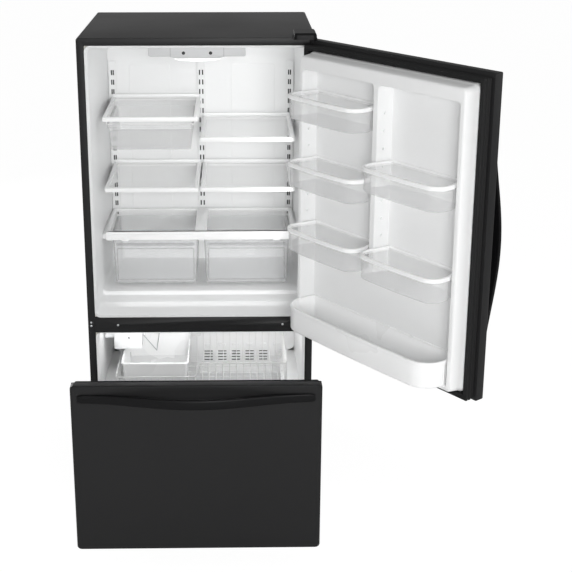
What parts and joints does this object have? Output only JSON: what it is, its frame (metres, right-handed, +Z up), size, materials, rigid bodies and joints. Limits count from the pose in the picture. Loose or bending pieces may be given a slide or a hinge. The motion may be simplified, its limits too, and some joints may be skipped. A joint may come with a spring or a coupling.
{
  "type": "bottom freezer refrigerator",
  "caption": "Full height kitchen refrigerator with a side hinged door over a pull-out freezer drawer, drawn with both open on glass shelves, crispers, door bins and a freezer basket.",
  "frame": {"origin": "bottom centre of the bounding box, on the floor, with the door and the freezer drawer standing open", "axes": "+Z up, +Y towards the back of the cabinet, +X towards the hinge side of the door"},
  "size_m": [1.3728, 1.4194, 1.7653],
  "materials": {
    "black_enamel": "black enamel with a fine orange-peel texture",
    "rear_steel": "plain dark coated steel",
    "insulating_foam": "rigid foam",
    "white_liner": "glossy white moulded liner",
    "white_steel": "white coated steel",
    "shelf_frame": "white moulded frame on coated arms",
    "shelf_glass": "clear tempered glass",
    "white_plastic": "white moulded plastic",
    "clear_plastic": "clear moulded plastic",
    "grey_plastic": "light grey moulded plastic",
    "light_lens": "milky diffuser",
    "zinc_steel": "zinc plated steel",
    "black_plastic": "satin black plastic",
    "black_casting": "black painted steel can",
    "gasket_rubber": "dull dark grey seal",
    "white_wire": "white coated wire"
  },
  "bodies": {
    "cabinet": {"outer_wrapper": "black_enamel", "back_panel": "rear_steel", "cabinet_foam": "insulating_foam", "fresh_liner": "white_liner", "freezer_liner": "white_liner", "mullion_cover": "black_enamel", "shelf_track_left": "white_steel", "shelf_track_centre": "white_steel", "shelf_track_right": "white_steel", "shelf_frame_upper_left": "shelf_frame", "shelf_glass_upper_left": "shelf_glass", "shelf_frame_upper_right": "shelf_frame", "shelf_glass_upper_right": "shelf_glass", "shelf_frame_lower_left": "shelf_frame", "shelf_glass_lower_left": "shelf_glass", "shelf_frame_lower_right": "shelf_frame", "shelf_glass_lower_right": "shelf_glass", "crisper_frame": "white_plastic", "crisper_glass_left": "shelf_glass", "crisper_glass_right": "shelf_glass", "control_housing": "grey_plastic", "light_lens": "light_lens", "base_frame": "zinc_steel", "compressor": "black_casting", "rear_cover": "rear_steel", "top_hinge": "black_enamel", "hinge_cover": "black_plastic", "centre_hinge": "black_enamel", "slide_rail_left": "zinc_steel", "slide_rail_right": "zinc_steel", "evaporator_cover": "white_plastic", "ice_maker": "grey_plastic"},
    "door": {"door_skin": "black_enamel", "door_foam": "insulating_foam", "door_liner": "white_liner", "door_gasket": "gasket_rubber", "door_handle": "black_plastic", "door_bin_hinge_side_upper": "clear_plastic", "door_bin_hinge_side_middle": "clear_plastic", "door_bin_hinge_side_lower": "clear_plastic", "door_bin_free_side_upper": "clear_plastic", "door_bin_free_side_lower": "clear_plastic", "door_trough": "white_plastic"},
    "freezer_drawer": {"drawer_skin": "black_enamel", "drawer_liner": "white_liner", "drawer_gasket": "gasket_rubber", "drawer_handle": "black_plastic", "drawer_frame": "zinc_steel", "freezer_bin": "white_plastic"},
    "basket": {"wire_basket": "white_wire", "ice_bin": "white_plastic"},
    "crisper_left": {"crisper_left": "clear_plastic"},
    "crisper_right": {"crisper_right": "clear_plastic"},
    "deli": {"deli_drawer": "clear_plastic"},
    "humidity_left": {"humidity_slide_left": "white_plastic"},
    "humidity_right": {"humidity_slide_right": "white_plastic"},
    "ice_arm": {"ice_arm": "zinc_steel"},
    "rollers": {"rear_rollers": "black_plastic"},
    "leg_left": {"levelling_leg_left": "zinc_steel"},
    "leg_right": {"levelling_leg_right": "zinc_steel"}
  },
  "joints": [
    {"name": "door_hinge", "type": "hinge", "parent": "cabinet", "child": "door", "pos_m": [0.13064, -0.02025, 0.691], "axis": [0, 0, 1], "range_deg": [-127, 8]},
    {"name": "freezer_drawer_slide", "type": "slide", "parent": "cabinet", "child": "freezer_drawer", "axis": [0, -1, 0], "range_m": [-0.47, 0.02]},
    {"name": "basket_slide", "type": "slide", "parent": "cabinet", "child": "basket", "axis": [0, -1, 0], "range_m": [0, 0.3]},
    {"name": "crisper_left_slide", "type": "slide", "parent": "cabinet", "child": "crisper_left", "axis": [0, -1, 0], "range_m": [0, 0.29]},
    {"name": "crisper_right_slide", "type": "slide", "parent": "cabinet", "child": "crisper_right", "axis": [0, -1, 0], "range_m": [0, 0.29]},
    {"name": "deli_slide", "type": "slide", "parent": "cabinet", "child": "deli", "axis": [0, -1, 0], "range_m": [0, 0.27]},
    {"name": "humidity_left_slide", "type": "slide", "parent": "cabinet", "child": "humidity_left", "axis": [1, 0, 0], "range_m": [-0.01, 0.028]},
    {"name": "humidity_right_slide", "type": "slide", "parent": "cabinet", "child": "humidity_right", "axis": [1, 0, 0], "range_m": [-0.028, 0.01]},
    {"name": "ice_arm_pivot", "type": "hinge", "parent": "cabinet", "child": "ice_arm", "pos_m": [-0.49636, 0.18375, 0.574], "axis": [0, -1, 0], "range_deg": [0, 35]},
    {"name": "rear_roller_axle", "type": "hinge", "parent": "cabinet", "child": "rollers", "pos_m": [-0.27036, 0.63975, 0.022], "axis": [1, 0, 0], "continuous": true},
    {"name": "leg_left_thread", "type": "hinge", "parent": "cabinet", "child": "leg_left", "pos_m": [-0.64036, 0.05775, 0.02], "axis": [0, 0, 1], "continuous": true},
    {"name": "leg_right_thread", "type": "hinge", "parent": "cabinet", "child": "leg_right", "pos_m": [0.09964, 0.05775, 0.02], "axis": [0, 0, 1], "continuous": true}
  ]
}
